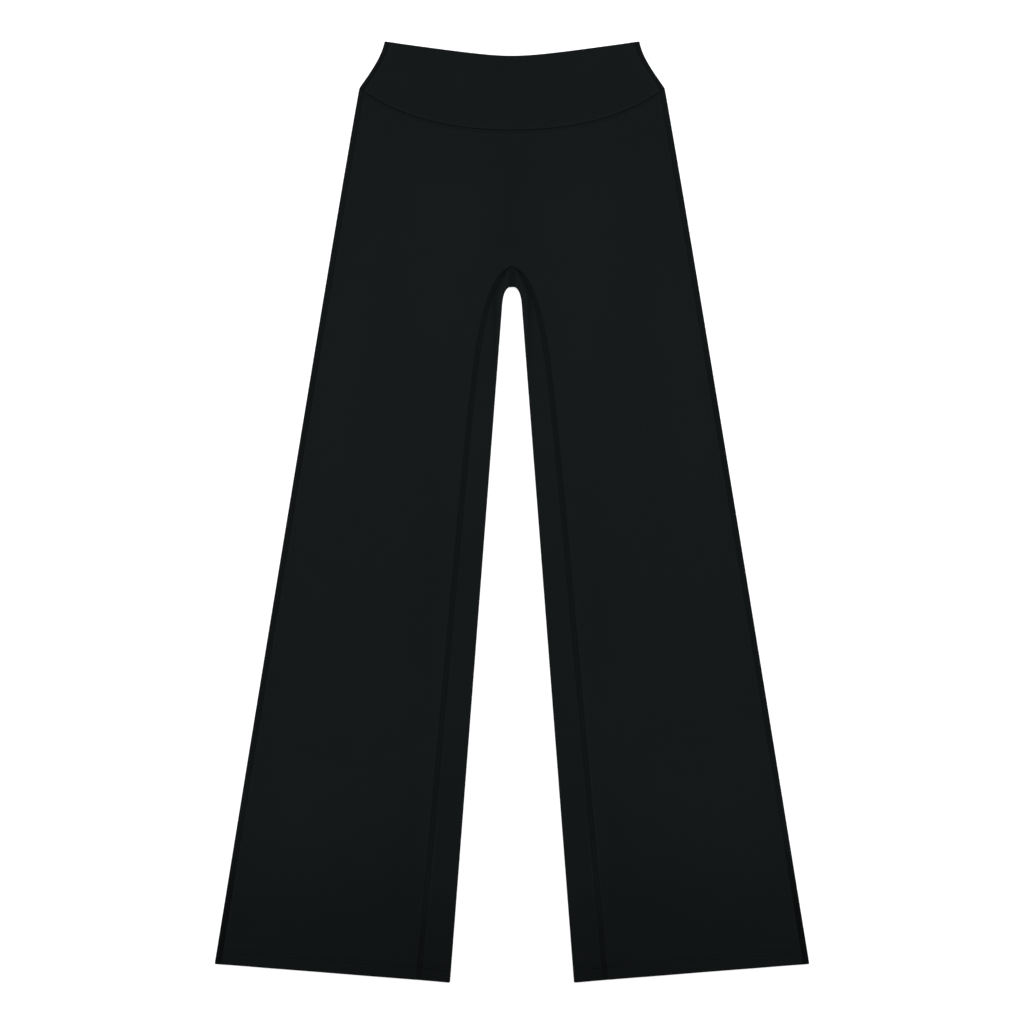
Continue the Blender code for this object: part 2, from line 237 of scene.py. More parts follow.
# Soft crease in each inner-leg panel beside the crotch, with painted shade in it
CREASE_INSET = 0.0046  # it starts this far inside the seam
CREASE_HALF = 0.0189  # and then runs straight down at this half
CREASE_WIDTHS = (0.0019, 0.0040)  # towards the leg's edge, towards the seam
CREASE_DEPTH = 0.00035
# Painted shade in the crease, as a share of the colour
CREASE_PAINTED_SHADE = 0.42
CREASE_STRENGTH = (
    Step(0.256, 0.263, 0.7),
    Step(0.263, 0.290, 0.3),
    Step(0.290, 0.326, -0.5),
    Step(0.326, 0.420, -0.5),
)

# Broad soft swells of the front layer, and a shallow trough
SWELLS = (
    Patch(0.075, 0.300, 0.038, 0.175, 0.04, 0.0014),
    Patch(0.182, 0.370, 0.022, 0.140, 0.15, 0.0010),
    Patch(0.122, 0.640, 0.030, 0.190, 0.10, 0.0010),
    Patch(0.218, 0.720, 0.028, 0.170, 0.14, 0.0009),
    Patch(0.150, 0.930, 0.026, 0.120, 0.10, 0.0009),
    Patch(0.262, 0.960, 0.022, 0.110, 0.15, 0.0008),
    Patch(0.137, 0.255, 0.012, 0.130, 0.06, -0.0002),
)

# Shallow creases of the underside, which end before the rolled edges
UNDER_SWELLS = (
    Patch(0.060, 0.215, 0.016, 0.060, 0.30, 0.0004),
    Patch(0.128, 0.330, 0.014, 0.130, 0.08, 0.0004),
    Patch(0.170, 0.560, 0.018, 0.160, 0.12, 0.0004),
    Patch(0.120, 0.800, 0.015, 0.120, 0.09, 0.0003),
    Patch(0.235, 0.880, 0.016, 0.100, 0.15, 0.0003),
)
UNDER_SWELL_INSET = 0.010

# Painted light and shade on the jersey: soft zones that look lighter or darker, as shares of its
# colour
LIGHT_AND_SHADE_ZONES = (
    Patch(0.075, 0.300, 0.045, 0.180, 0.04, 0.05),
    Patch(0.192, 0.370, 0.035, 0.150, 0.15, 0.08),
    Patch(0.000, 0.190, 0.024, 0.070, 0.00, -0.06),
    Patch(0.137, 0.255, 0.014, 0.150, 0.06, -0.03),
    Patch(0.038, 0.450, 0.016, 0.120, 0.08, 0.04),
    Patch(0.165, 0.190, 0.022, 0.100, 0.15, -0.035),
    Patch(0.092, 0.610, 0.022, 0.120, 0.06, -0.06),
    Patch(0.112, 0.865, 0.022, 0.050, 0.06, -0.06),
    Patch(0.160, 0.710, 0.060, 0.045, 0.00, 0.02),
    Patch(0.240, 0.880, 0.055, 0.070, 0.15, 0.055),
    Patch(0.110, 1.040, 0.070, 0.100, 0.00, -0.16),
)
# The inner-leg panels are a little darker, with painted light and shade in zones
INNER_TONE = 0.95
INNER_LIGHT_AND_SHADE_ZONES = (
    Patch(0.05, 0.620, 0.100, 0.120, 0.00, -0.04),
    Patch(0.05, 0.840, 0.100, 0.060, 0.00, -0.08),
    Patch(0.05, 0.942, 0.100, 0.022, 0.00, 0.15),
)
BAND_ZONES = (Patch(0.00, 0.027, 0.048, 0.009, 0.00, -0.07),)

# Painted light and shade by the distance down, from the outline, from the hem's edge and from the
# waist seam
KNEE_PAINTED_LIGHT = (Step(0.36, 0.47, 0.035),)
SHIN_PAINTED_SHADE = (Step(0.82, 1.09, -0.33),)
# Painted shade on the last millimetre of the rolled edges, at the sides and at the inner edges
SIDE_EDGE_PAINTED_SHADE = (Ridge(0.0, 0.0011, -0.40),)
INNER_EDGE_PAINTED_SHADE = (Ridge(0.0, 0.0007, -0.25),)
# Painted highlight on the inner edge near the crotch, which shows above the downs that follow
INNER_EDGE_HIGHLIGHT = (Ridge(0.0020, 0.0016, 0.12),)
INNER_EDGE_HIGHLIGHT_FADE = (0.45, 0.32)  # the light inner edge shows above these downs
# Painted shade at the hem's edge, and a painted highlight between its stitch rows
HEM_PAINTED_LIGHT_AND_SHADE = (Ridge(0.0, 0.0009, -0.35), Ridge(HEM_ROWS_MIDDLE, 0.0009, 0.06))
# Below the waist seam: a painted shadow line at the seam, a painted shade band under it, a painted
# highlight past the stitch row and painted shade under the waistband
BELOW_WAIST_LIGHT_AND_SHADE = (
    Ridge(0.0006, 0.0006, -0.12),
    Step(0.0052, 0.0, -0.13),
    Ridge(0.0058, 0.0012, 0.05),
    Step(0.100, 0.030, -0.055),
)
# Painted highlight along the waistband's sides
BAND_SIDE_HIGHLIGHT = (Ridge(0.0110, 0.0065, 0.07),)
# Painted highlight above the waist seam, and painted shade at it
BAND_WAIST_LIGHT_AND_SHADE = (Ridge(-0.0013, 0.0010, 0.18), Ridge(0.0004, 0.0003, -0.04))

# Painted highlight on the rim of the cloth beside a covering stitch
RIM_HIGHLIGHT_AT = 0.0013
RIM_HIGHLIGHT_WIDTH = 0.0011
SIDE_RIM_HIGHLIGHT = 0.08
BAND_RIM_HIGHLIGHT = 0.13
INSEAM_RIM_HIGHLIGHT = 0.01
INSEAM_RIM_HIGHLIGHTS = (Step(0.45, 1.00, 0.13), Ridge(0.935, 0.050, 0.08))

# Painted light and shade on the covering stitches, by the length along them. The inseams' are darker
# beside the point where they meet and towards the hems, the sides' lighter at the hips and shins,
# darkest at the hems
INSEAM_COVER_LIGHT_AND_SHADE = (
    Ridge(0.0, 0.0040, 0.25),
    Ridge(0.0105, 0.0045, -0.28),
    Step(0.075, 0.020, -0.24),
    Ridge(0.535, 0.050, 0.06),
    Ridge(0.704, 0.040, 0.30),
    Step(0.731, 0.751, -0.10),
)
# Painted light and shade across the inseams' covers
INSEAM_COVER_SHADE_LEAN = 0.06  # lighter towards the outside
SIDE_COVER_TONE = 1.11
SIDE_COVER_LIGHT_AND_SHADE = (
    Step(0.23, 0.36, -0.14),
    Ridge(0.550, 0.050, 0.06),
    Ridge(0.825, 0.055, 0.22),
    Step(0.835, 0.940, -0.36),
)

# Spacing of the mesh: distances from a seam or an edge, then even steps
SEAM_OFFSETS = (0.0, 0.0009, 0.0018, 0.0025, 0.0030, 0.0035, 0.0041, 0.0048, 0.0057, 0.0070,
                0.0088, 0.0112)
EDGE_OFFSETS = (0.0, 0.0012, 0.0028, 0.0050, 0.0080)
WAIST_OFFSETS = (0.0, 0.0001, 0.0003, 0.0006, 0.0010, 0.0015, 0.0021, 0.0028, 0.0035, 0.0041,
                 0.0047, 0.0054, 0.0063, 0.0076, 0.0095, 0.0120)
TOP_OFFSETS = (0.0, 0.0001, 0.0003, 0.0006, 0.0010, 0.0016, 0.0026, 0.0042)
HEM_OFFSETS = (0.0, 0.0001, 0.0003, 0.0006, 0.0009, 0.0018, 0.0035, 0.0058, 0.0084, 0.0108, 0.0122,
               0.0129, 0.0135, 0.0141, 0.0147, 0.0153, 0.0159, 0.0165, 0.0170, 0.0176, 0.0184,
               0.0195, 0.0207, 0.0225)
OFFSETS_ROOM = 1.6  # lines shorter than their offsets times this squeeze them
HIP_ROWS = 44
LEG_ROWS = 236
CROTCH_EASE = 0.025
BAND_ROWS = 18
FRONT_COLUMNS = 40
FLOOR_COLUMNS = 40
INSEAM_COLUMNS = 5
ROLL_COLUMNS = 4
FOLD_STEPS = 12
RIM_LEFT = 0.22  # share of the wall's thickness left at a rounded rim
SEAM_RIM = 0.0004  # radius of the rims at the waist seam
SEAM_RIM_LEFT = 0.75
JOINING_REACH = 1e-9  # points this close to the middle line are shared by both halves

# Colours, as linear shares of red, green and blue
JERSEY_COLOUR = (0.0053, 0.0070, 0.0076)
BAND_COLOUR = (0.0048, 0.0063, 0.0069)
THREAD_COLOUR = (0.0049, 0.0063, 0.0069)
FLOOR_COLOUR = (0.90, 0.90, 0.90)
WHITE = (1.0, 1.0, 1.0, 1.0)

# Knit stitches, and noises by their lumps per metre and their detail
WALE = 0.00058  # width of a column of stitches
COURSE = 0.00044  # height of a row of stitches
GRAIN = (850.0, 1.0)
CLOUD = (28.0, 3.0)
FIBRE = (2600.0, 2.0)
MOTTLE = (3.0, 2.0)

# What a texture is multiplied by and then raised by, and the height and strength of its bumps
KNIT_TONE = (0.30, 0.85)
GRAIN_TONE = (0.40, 0.80)
CLOUD_TONE = (0.10, 0.95)
FIBRE_TONE = (0.6, 0.7)
MOTTLE_TONE = (0.02, 0.99)
JERSEY_ROUGHNESS = (0.12, 0.60)
THREAD_ROUGHNESS = (0.2, 0.50)
KNIT_BUMP = (0.00008, 0.5)
CLOUD_BUMP = (0.0006, 0.25)
FIBRE_BUMP = (0.00006, 0.5)

# Camera and light
FIELD = 1.14688  # width of what the camera sees on the ground
LENS = 100.0
SENSOR = 36.0
WORLD_STRENGTH = 0.62
SOFTBOXES = (  # name, place, size and power
    ("waist_light", (0.0, 1.6, 1.9), (2.0, 1.2), 22.0),
    ("left_light", (-1.7, 0.2, 1.5), (1.2, 2.2), 12.0),
    ("right_light", (1.7, 0.2, 1.5), (1.2, 2.2), 12.0),
)
FLOOR_DOWN = 0.0002
FLOOR_REACH = 20.0
FLOOR_GLOW = 0.5


def smooth(low, high, value):
    """0 at low and before it, 1 at high and past it, with a smooth rise between them."""
    share = np.clip((value - low) / (high - low), 0.0, 1.0)
    return share * share * (3 - 2 * share)


def bump(distance, width):
    """1 at no distance, fading smoothly to 0 past the width."""
    return np.exp(-(distance / width) ** 2)


def summed(changes, distance, base=0.0):
    """A base plus some ridges and steps, at a distance."""
    total = base + 0 * distance
    for change in changes:
        if isinstance(change, Ridge):
            share = bump(distance - change.at, change.width)
        else:
            share = smooth(change.start, change.end, distance)
        total = total + change.by * share
    return total


def toned(changes, distance):
    """The tone that some ridges and steps give at a distance."""
    return summed(changes, distance, 1.0)


def patched(patches, at, base=0.0):
    """A base plus some patches, at a place."""
    total = base
    for patch in patches:
        axis = patch.half + patch.lean * (at.down - patch.down)
        across = bump(at.half - axis, patch.half_width)
        along = bump(at.down - patch.down, patch.half_length)
        total = total + patch.by * across * along
    return total


def profile(base, *changes):
    """A function of the length along a seam: a base plus some ridges and steps."""
    return lambda at: summed(changes, at, base)


# Outline and seams


def side_half(down):
    """Outer edge: a concave cubic beside the waistband, then a leg that bows out slightly."""
    share = np.clip(down / BAND_SIDE_HEIGHT, 0.0, 1.0)
    cube = 1 - BAND_SIDE_LINEAR - BAND_SIDE_SQUARE
    rise = BAND_SIDE_LINEAR * share + BAND_SIDE_SQUARE * share ** 2 + cube * share ** 3
    share = np.clip((down - BAND_SIDE_HEIGHT) / LEG_SIDE_LENGTH, 0.0, 1.0)
    skewed = share ** LEG_BOW_SKEW
    bow = LEG_BOW * 4 * skewed * (1 - skewed)
    leg = (HEM_OUTER_HALF - HIP_HALF) * share + bow
    return WAIST_HALF + (HIP_HALF - WAIST_HALF) * rise + leg


def side_seam_half(down):
    """Side seam, beside the outer edge."""
    return side_half(down) - SIDE_SEAM_INSET


def inner_edge_half(down):
    """Inner edge of a leg: a straight line that starts in a squarish quarter ellipse."""
    below = np.maximum(down - ARCH_DOWN, 0.0)
    slope = (HEM_INNER_HALF - ARCH_HALF) / (LENGTH - ARCH_DOWN)
    left = 1 - np.minimum(below / ARCH_HEIGHT, 1.0)
    arch = (1 - left ** ARCH_POWER) ** (1 / ARCH_POWER)
    return slope * below + ARCH_HALF * arch


def arch_edge_down(half):
    """The top of the gap between the legs, close to the middle line."""
    left = (1 - np.minimum(half / ARCH_HALF, 1.0) ** ARCH_POWER) ** (1 / ARCH_POWER)
    return ARCH_DOWN + ARCH_HEIGHT * (1 - left)


def inner_distance(half, down):
    """Distance from the gap between the legs, whose top is taken as a circle."""
    centre_down = ARCH_DOWN + ARCH_HALF
    above = np.hypot(half, centre_down - down) - ARCH_HALF
    return np.where(down < centre_down, above, half - inner_edge_half(down))


def inseam_half(down):
    """Seam between an inner-leg panel and the front or the back."""
    below = np.maximum(down - APEX_DOWN, 0.0)
    return INSEAM_SLOPE * below + INSEAM_SPREAD * np.tanh((below / INSEAM_REACH) ** INSEAM_POWER)


def top_edge_down(half, dip):
    """Top edge of the waistband: two nearly straight lines with a round corner in the middle."""
    full = math.hypot(WAIST_HALF, TOP_DIP_ROUNDING) - TOP_DIP_ROUNDING
    here = np.hypot(half, TOP_DIP_ROUNDING) - TOP_DIP_ROUNDING
    return dip * (1 - here / full)


def waist_seam_down(share, middle_down):
    """Waist seam at a share of the way from the middle to the side."""
    curve = BAND_SEAM_ROUNDNESS * share ** 2 + (1 - BAND_SEAM_ROUNDNESS) * share ** 4
    return middle_down - (middle_down - BAND_SIDE_HEIGHT) * curve


def waist_seam_stretch(share, middle_down):
    """Length of a step along the waist seam for a step across the pants."""
    step = 0.001
    rise = waist_seam_down(share + step, middle_down) - waist_seam_down(share - step, middle_down)
    return np.hypot(1, rise / (2 * step * HIP_HALF))


def beside_waist_seam(share, middle_down, offset):
    """Line at an offset below the waist seam."""
    return waist_seam_down(share, middle_down) + offset * waist_seam_stretch(share, middle_down)


def hem_down(half):
    """The straight hem's edge."""
    slope = (LENGTH - HEM_OUTER_DOWN) / (HEM_OUTER_HALF - HEM_INNER_HALF)
    return LENGTH - slope * (half - HEM_INNER_HALF)


def leg_shares():
    """How far each leg row is from the crotch to the hem: close at both ends."""
    leg = HEM_OUTER_DOWN - APEX_DOWN
    steps = np.linspace(0.0, 1.0, LEG_ROWS + 1) * (leg + CROTCH_EASE)
    below = np.hypot(steps, CROTCH_EASE) - CROTCH_EASE
    below *= (leg - HEM_OFFSETS[-1]) / below[-1]
    return np.concatenate((below, leg - np.array(HEM_OFFSETS[-2::-1]))) / leg


def points_down(shares, half_at, end):
    """Points of an edge or a seam of the leg, at shares of the way from the crotch to its end."""
    down = APEX_DOWN + shares * (end - APEX_DOWN)
    return np.column_stack((half_at(down), down))


def fine_inseam():
    """Many points of the inseam, closest at the crotch."""
    return points_down(np.linspace(0, 1, INSEAM_POINTS) ** 2, inseam_half, INSEAM_HEM_DOWN)


def inner_edge_points(shares):
    """Points of the inner edge at such shares: lower at the crotch, then level with the inseam."""
    below = shares * (INSEAM_HEM_DOWN - APEX_DOWN)
    behind = (ARCH_DOWN - APEX_DOWN) * (1 - smooth(0, ARCH_CATCH_UP, below))
    down = APEX_DOWN + below + behind + shares * (LENGTH - INSEAM_HEM_DOWN)
    return np.column_stack((inner_edge_half(down), down))


def unit(vectors):
    """Vectors of length 1 in the same directions."""
    return vectors / np.linalg.norm(vectors, axis=-1, keepdims=True)


def on_lines(start, way, share):
    """Halves and downs at shares of straight ways."""
    return start[:, :1] + way[:, :1] * share, start[:, 1:] + way[:, 1:] * share


def square_to(points):
    """Unit vectors square to a curve that starts on the middle line, towards the other leg."""
    before = np.vstack((points[1] * (-1, 1), points[:-1]))
    after = np.vstack((points[1:], 2 * points[-1] - points[-2]))
    before[0, 1] = points[1, 1]
    along = unit(after - before)
    return np.column_stack((-along[:, 1], along[:, 0]))


def lengths_along(points):
    """Length along a curve at each of its points."""
    return np.concatenate(([0.0], np.cumsum(np.linalg.norm(np.diff(points, axis=0), axis=1))))


def even_steps(points, step):
    """A curve's points again, an equal step apart."""
    gone = lengths_along(points)
    count = max(int(round(gone[-1] / step)), 1)
    at = np.linspace(0.0, gone[-1], count + 1)
    return np.column_stack([np.interp(at, gone, column) for column in points.T])


# Places and their heights


def inseam_tree():
    """The inseam's points, ready for measuring distances."""
    points = even_steps(fine_inseam(), INSEAM_TREE_STEP)
    tree = KDTree(len(points))
    for number, (half, down) in enumerate(points):
        tree.insert((half, down, 0.0), number)
    tree.balance()
    return tree


INSEAM_TREE = inseam_tree()


def inseam_distance(half, down):
    """Distance from the inseam, on either side of it."""
    places = zip(half.ravel(), down.ravel())
    found = [INSEAM_TREE.find((h, d, 0.0))[2] for h, d in places]
    return np.array(found).reshape(half.shape)


def places_on(band_middle_down):
    """A function that gives the places of the front or the back, on both sides of the middle."""

    def place(half, down):
        half = np.abs(half)
        share = np.minimum(half / HIP_HALF, 1.0)
        stretch = waist_seam_stretch(share, band_middle_down)
        waist = (down - waist_seam_down(share, band_middle_down)) / stretch
        return Place(half, down, side_half(down) - half, inner_distance(half, down),
                     inseam_distance(half, down), waist, np.maximum(hem_down(half) - down, 0.0))

    return place


front_place = places_on(BAND_FRONT_DOWN)
back_place = places_on(BAND_BACK_DOWN)


def side_seam_distance(at):
    """Distance from the side seam, on either side of it."""
    return np.abs(at.side - SIDE_SEAM_INSET)


def leg_wall(at):
    """Thickness of a leg panel: doubled in the hem."""
    return HEM_WALL + (PANEL_WALL - HEM_WALL) * smooth(HEM_FLAT, HEM_EASE, at.hem)


def band_wall(at):
    """Thickness of the waistband."""
    return np.full_like(at.half, BAND_WALL)


def puff(distance):
    """Extra air between the layers beside a rolled edge."""
    return EDGE_PUFF * bump(np.maximum(distance - LEG_FOLD, 0.0), EDGE_REACH)


def waves(along, lengths):
    """Uneven ripples between -1 and 1."""
    total = 0.0
    for number, length in enumerate(lengths):
        total = total + np.sin(2 * math.pi * along / length + WAVE_SHIFT * number)
    return total / len(lengths)


def leg_air(at):
    """Air between the back layer and the front layer of the legs and hips."""
    lift = BAND_LIFT * (1 - smooth(0, BAND_LIFT_REACH, at.waist))
    edges = puff(at.side) + puff(at.inner)
    hem = HEM_WAVE_HEIGHT * waves(at.half, HEM_WAVES) * bump(at.hem, HEM_WAVE_REACH)
    return LAYER_GAP + lift + edges + patched(SWELLS, at) + hem


def beside_cover(distance, along):
    """Relief beside a covering stitch: pressed at its edge, puffed past it, slightly rippled."""
    past = distance - COVER_HALF
    ripple = RIPPLE_HEIGHT * waves(along, RIPPLE_WAVES) * bump(np.maximum(past, 0), RIPPLE_REACH)
    return summed(BESIDE_COVER, past) + ripple


def crease(at):
    """How much a place lies in the soft crease beside the crotch, from 0 to 1."""
    seam = inseam_half(at.down)
    half = np.minimum(seam - CREASE_INSET, CREASE_HALF)
    across = bump(at.half - half, np.where(at.half < half, *CREASE_WIDTHS))
    return summed(CREASE_STRENGTH, at.down) * across * (at.half < seam)


def leg_full_top(at):
    """Height of the front layer's outside on the legs and hips, without its rolled edges."""
    seams = beside_cover(at.inseam, at.down) + beside_cover(side_seam_distance(at), at.down)
    rows = summed(HEM_RELIEF, at.hem) + summed(BELOW_WAIST_RELIEF, at.waist)
    return 2 * leg_wall(at) + leg_air(at) + seams + rows - CREASE_DEPTH * crease(at)


def band_full_top(at):
    """Height of the front waistband's outside, without its rolled sides."""
    seams = beside_cover(side_seam_distance(at), at.down) + summed(BAND_RELIEF, at.waist)
    return 2 * BAND_WALL + LAYER_GAP + puff(at.side) + seams


def rim(distance, radius, left=RIM_LEFT):
    """Share of the wall's thickness that is left at a distance from a rounded rim."""
    back = 1 - np.clip(distance / radius, 0.0, 1.0)
    return np.maximum(np.sqrt(1 - back ** 2), left)


def fold_rounding(distance, radius):
    """Share of the height that a rolled edge reaches at a distance inside the outline."""
    return 0.5 + 0.5 * rim(distance, radius, 0.0)


def leg_top(at):
    """Height of the front layer's outside on the legs and hips, with its rolled edges."""
    return leg_full_top(at) * fold_rounding(np.minimum(at.side, at.inner), LEG_FOLD)


def band_top(at):
    """Height of the waistband's outside, with its rolled sides."""
    return band_full_top(at) * fold_rounding(at.side, BAND_FOLD)


def under_cover(distance):
    """Recess of the underside at a covering stitch."""
    return UNDER_RECESS * (1 - smooth(COVER_HALF, COVER_HALF + UNDER_SLOPE, distance))


def leg_ground(at):
    """Height of the underside of the legs and hips: flat but for creases and sewing."""
    middle = under_cover(at.half) * (at.down < ARCH_DOWN + UNDER_CROTCH_PAST)
    seams = np.maximum(under_cover(at.inseam), middle)
    creases = patched(UNDER_SWELLS, at) * (1 - bump(at.side, UNDER_SWELL_INSET))
    rows = np.maximum(summed(UNDER_HEM_RELIEF, at.hem), summed(UNDER_WAIST_RELIEF, at.waist))
    return np.maximum(np.maximum(seams, creases), rows)


def band_ground(at):
    """Height of the waistband's underside: flat but for the groove at the waist seam."""
    return summed(UNDER_BAND_RELIEF, at.waist)


# Tones, mostly painted light and shade


def rim_highlight(distance, strength):
    """Cloth beside a covering stitch: a painted highlight on the rim past its edge."""
    return 1 + strength * bump(distance - COVER_HALF - RIM_HIGHLIGHT_AT, RIM_HIGHLIGHT_WIDTH)


def painted_light_fade(down):
    """Painted light falloff: the legs are a little lighter below the thighs and darker towards the
    hems.
    """
    return toned(KNEE_PAINTED_LIGHT, down) * toned(SHIN_PAINTED_SHADE, down)


def outline_light_and_shade(at):
    """Painted shade: rolled and turned edges are darker in their last millimetre, and the hem has a
    painted highlight between its stitch rows.
    """
    return toned(SIDE_EDGE_PAINTED_SHADE, at.side) * toned(INNER_EDGE_PAINTED_SHADE, at.inner) * toned(HEM_PAINTED_LIGHT_AND_SHADE, at.hem)


def inner_leg_tone(at):
    """The inner-leg panels: a little darker, with painted light and shade in zones, a painted
    highlight on the edge near the crotch and painted shade in the crease.
    """
    light = 1 + summed(INNER_EDGE_HIGHLIGHT, at.inner) * smooth(*INNER_EDGE_HIGHLIGHT_FADE, at.down)
    tone = INNER_TONE * patched(INNER_LIGHT_AND_SHADE_ZONES, at, 1.0) * light * (1 - CREASE_PAINTED_SHADE * crease(at))
    return np.where(at.half < inseam_half(at.down), tone, 1.0)


def leg_tone(at):
    """Tone of the legs and hips: painted light and shade at the seams, edges, crease and zones, and
    towards the hems.
    """
    inseams = rim_highlight(at.inseam, summed(INSEAM_RIM_HIGHLIGHTS, at.down, INSEAM_RIM_HIGHLIGHT))
    seams = inseams * rim_highlight(side_seam_distance(at), SIDE_RIM_HIGHLIGHT) * inner_leg_tone(at)
    zones = painted_light_fade(at.down) * patched(LIGHT_AND_SHADE_ZONES, at, 1.0) * toned(BELOW_WAIST_LIGHT_AND_SHADE, at.waist)
    return seams * zones * outline_light_and_shade(at)


def band_tone(at):
    """Tone of the waistband: painted light and shade at its seams and sides, and a darker zone in
    its middle.
    """
    seams = rim_highlight(side_seam_distance(at), BAND_RIM_HIGHLIGHT) * toned(BAND_WAIST_LIGHT_AND_SHADE, at.waist)
    zones = toned(BAND_SIDE_HIGHLIGHT, at.side) * patched(BAND_ZONES, at, 1.0)
    return seams * zones * outline_light_and_shade(at)


# The kinds of cloth


def leg_rims(at):
    """Rounding of a leg panel's rims: the hem's fold and the edge at the waist seam."""
    seam = rim(at.waist - LEG_START, SEAM_RIM, SEAM_RIM_LEFT)
    return rim(at.hem, leg_wall(at) / 2) * seam


def band_rims(top_dip):
    """Rounding of a waistband's rims: its top fold and the fold at the waist seam."""

    def left_at(at):
        edge = top_edge_down(WAIST_HALF * at.half / side_half(at.down), top_dip)
        seam = rim(BAND_END - at.waist, SEAM_RIM, SEAM_RIM_LEFT)
        return rim(at.down - edge, BAND_WALL / 2) * seam

    return left_at


def band_cloth(top_dip):
    """The cloth of a waistband whose top edge dips by an amount."""
    return Cloth(band_wall, band_full_top, band_ground, band_tone, band_rims(top_dip), BAND_FOLD)


LEG_CLOTH = Cloth(leg_wall, leg_full_top, leg_ground, leg_tone, leg_rims, LEG_FOLD)


# Grids of the panels


def spread(length, near, far, count):
    """Distances along lines of some lengths: set ones at both ends, even ones between them."""
    near = np.array(near)
    far = np.array(far)
    length = length[:, None]
    squeeze = np.minimum(1.0, length / (OFFSETS_ROOM * (near[-1] + far[-1])))
    start = near * squeeze
    end = length - far[::-1] * squeeze
    share = np.linspace(0, 1, count + 2)[1:-1]
    middle = start[:, -1:] + (end[:, :1] - start[:, -1:]) * share
    return np.hstack((start, middle, end))


def panel_lines(band_middle_down, inner):
    """Lines across the right half of a front or back, from the waist seam to the hem."""
    height = APEX_DOWN - BAND_SIDE_HEIGHT
    share = spread(np.array([height]), WAIST_OFFSETS, (0.0,), HIP_ROWS)[0, :-1, None] / height
    outer = side_half(BAND_SIDE_HEIGHT + share * height)
    shares = leg_shares()
    inseam = points_down(shares, inseam_half, INSEAM_HEM_DOWN)
    start = inseam - SEAM_GAP / 2 * square_to(inseam)
    start[0, 0] = inner
    way = points_down(shares, side_half, HEM_OUTER_DOWN) - start
    leg_length = np.linalg.norm(way, axis=1)

    def points_at(distances):
        half = inner + distances[:len(share)]
        seam = beside_waist_seam(half / outer, band_middle_down, LEG_START)
        hips = (half, (1 - share) * seam + share * APEX_DOWN)
        legs = on_lines(start, unit(way), distances[len(share):])
        return [np.vstack(both) for both in zip(hips, legs)]

    return Lines(np.concatenate((outer[:, 0] - inner, leg_length)), points_at)


def band_lines(top_dip, band_middle_down):
    """Lines across the right half of a waistband, from its top edge to the waist seam."""
    rows = spread(np.array([BAND_SIDE_HEIGHT]), TOP_OFFSETS, WAIST_OFFSETS, BAND_ROWS)
    share = rows[0, :, None] / BAND_SIDE_HEIGHT
    outer = side_half(share * BAND_SIDE_HEIGHT)

    def points_at(distances):
        top = top_edge_down(WAIST_HALF * distances / outer, top_dip)
        seam = beside_waist_seam(distances / outer, band_middle_down, BAND_END)
        return distances, (1 - share) * top + share * seam

    return Lines(outer[:, 0], points_at)


def stacked(half, down, height):
    """World points on the right side."""
    return np.stack((half, LENGTH / 2 - down, height + np.zeros_like(half)), axis=-1)


def rounded(grid, left):
    """A grid whose two faces are drawn together to the share that is left of its thickness."""
    middle = (grid.outside + grid.inside) / 2
    faces = [middle + (face - middle) * left[..., None] for face in (grid.outside, grid.inside)]
    return Grid(*faces, grid.tone)


def flat_part(cloth, at, on_top):
    """A part of a panel that lies on top, or else on the ground."""
    if on_top:
        high = cloth.top(at)
        low = high - cloth.wall(at)
    else:
        high = cloth.ground(at)
        low = cloth.wall(at)
    grid = Grid(stacked(at.half, at.down, high), stacked(at.half, at.down, low), cloth.tone(at))
    return rounded(grid, cloth.left(at))


def fold_part(cloth, at, points_at_inset):
    """A rolled edge from the top to the ground, by its start on top and its points at insets."""
    turns = np.radians(np.linspace(90, -90, FOLD_STEPS + 1))[1:-1]
    rise = np.sin(turns)
    height = cloth.top(at)
    ground = cloth.ground(at)
    wall = cloth.wall(at)
    outside_plan = points_at_inset(cloth.fold - cloth.fold * np.cos(turns))
    inside_plan = points_at_inset(cloth.fold - (cloth.fold - wall) * np.cos(turns))
    outside = stacked(*outside_plan, ground + (height - ground) / 2 * (1 + rise))
    inside = stacked(*inside_plan, height / 2 + (height / 2 - wall) * rise)
    tone = cloth.tone(front_place(*outside_plan))
    return rounded(Grid(outside, inside, tone), cloth.left(at) * np.ones(len(turns)))


def rolled(cloth, top, fold_start, points_at_inset, ground):
    """A grid that goes from the top round a rolled edge and along the ground."""
    parts = (flat_part(cloth, top, True), fold_part(cloth, fold_start, points_at_inset),
             flat_part(cloth, ground, False))
    return Grid(*[np.concatenate(together, axis=1) for together in zip(*parts)])


def upper_grid(lines, cloth):
    """Right half of a front piece, from its inner end to the side seam."""
    length = lines.length - SIDE_SEAM_INSET - SEAM_GAP / 2
    distances = spread(length, SEAM_OFFSETS, SEAM_OFFSETS, FRONT_COLUMNS)
    return flat_part(cloth, front_place(*lines.points_at(distances)), True)


def rolled_grid(lines, cloth):
    """Right half of a back piece: from the side seam round the outer edge and along the ground."""

    def points_at_inset(inset):
        return lines.points_at(lines.length[:, None] - inset)

    insets = np.linspace(SIDE_SEAM_INSET - SEAM_GAP / 2, cloth.fold, ROLL_COLUMNS)
    top = front_place(*points_at_inset(insets))
    fold_start = front_place(*points_at_inset(cloth.fold))
    length = lines.length - cloth.fold
    distances = spread(length, SEAM_OFFSETS, EDGE_OFFSETS, FLOOR_COLUMNS)[:, ::-1]
    ground = back_place(*lines.points_at(distances))
    return rolled(cloth, top, fold_start, points_at_inset, ground)


